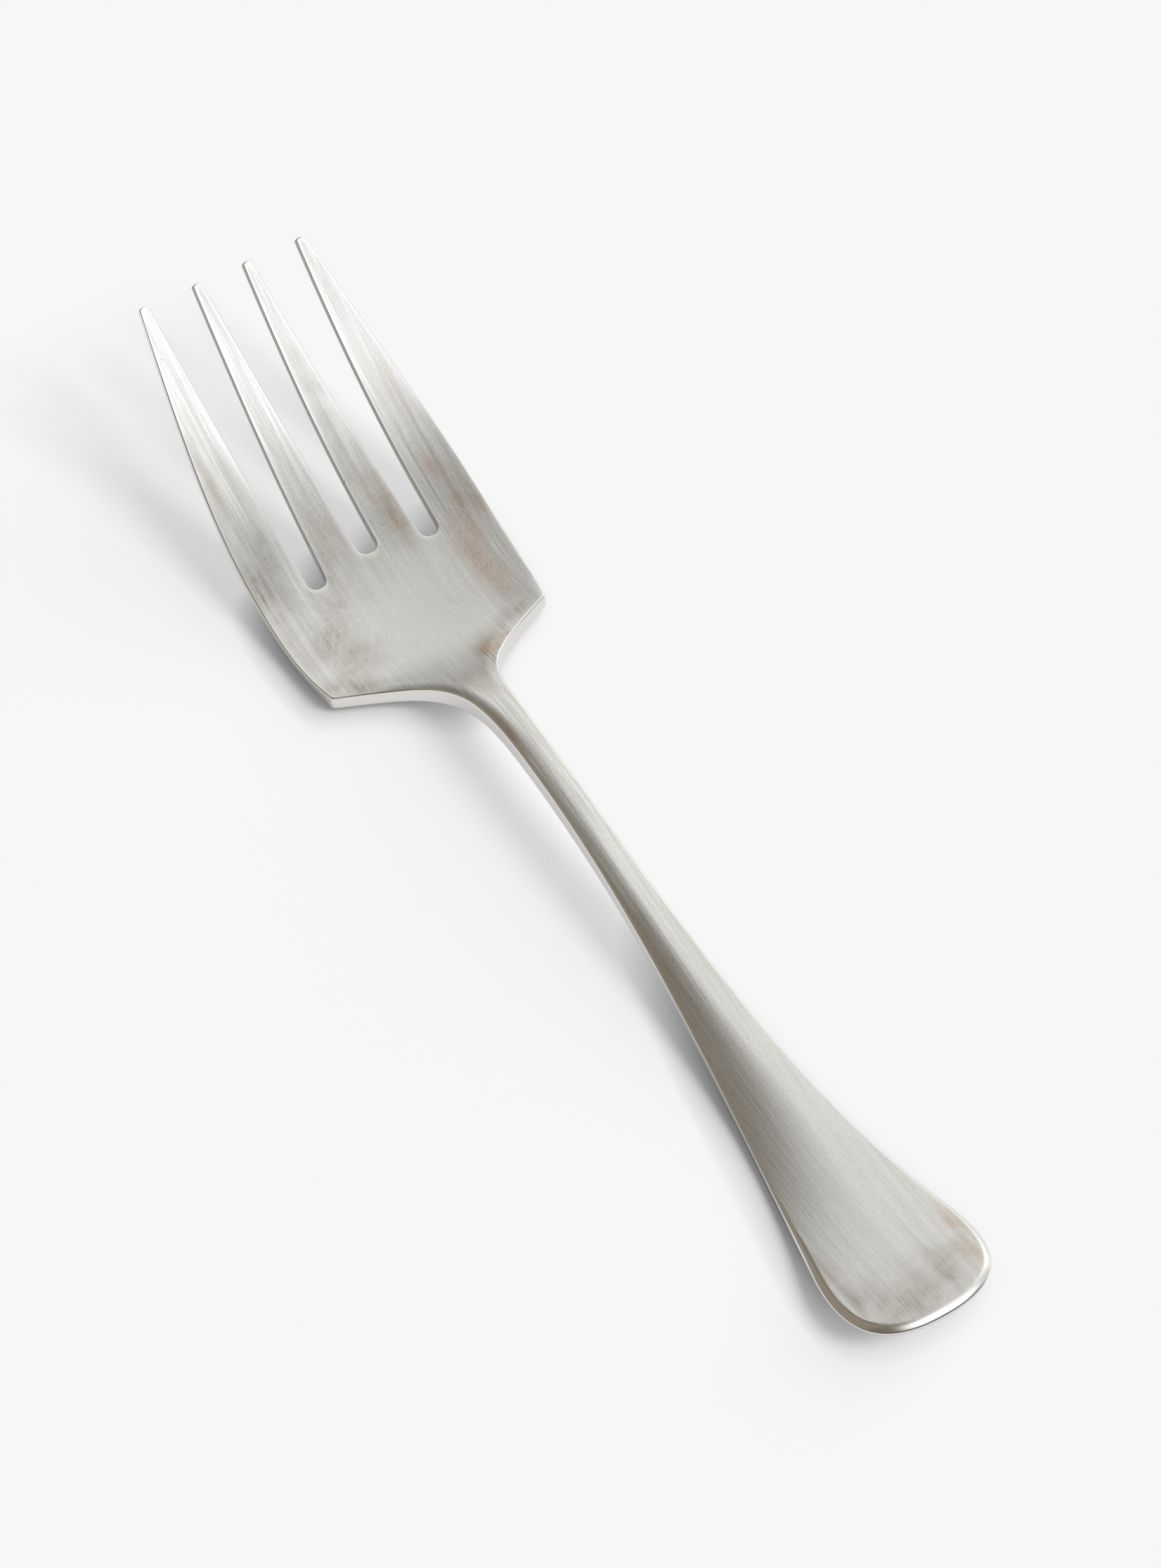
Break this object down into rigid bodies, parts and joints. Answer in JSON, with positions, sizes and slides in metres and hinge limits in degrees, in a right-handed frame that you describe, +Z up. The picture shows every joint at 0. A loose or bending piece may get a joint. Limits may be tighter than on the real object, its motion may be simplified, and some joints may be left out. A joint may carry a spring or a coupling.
{
  "type": "serving fork",
  "caption": "Forged steel serving fork with a dished palm, curved tapering tines, a slim arched neck and a crowned handle that flares to a round, upturned end.",
  "frame": {"origin": "middle of the fork's plan outline, on the table that the fork lies on", "axes": "+X across the fork to the right as held with the tines away, +Y along the fork towards the tine tips, +Z up from the table"},
  "size_m": [0.05, 0.25, 0.0325],
  "materials": {
    "tumbled_steel": "stainless steel, tumbled to a soft worn satin with fine scratches, faint warm staining and bright broken edges"
  },
  "bodies": {
    "root": {"handle": "tumbled_steel", "neck": "tumbled_steel", "head": "tumbled_steel", "left_outer_tine": "tumbled_steel", "left_inner_tine": "tumbled_steel", "right_inner_tine": "tumbled_steel", "right_outer_tine": "tumbled_steel"}
  },
  "joints": []
}
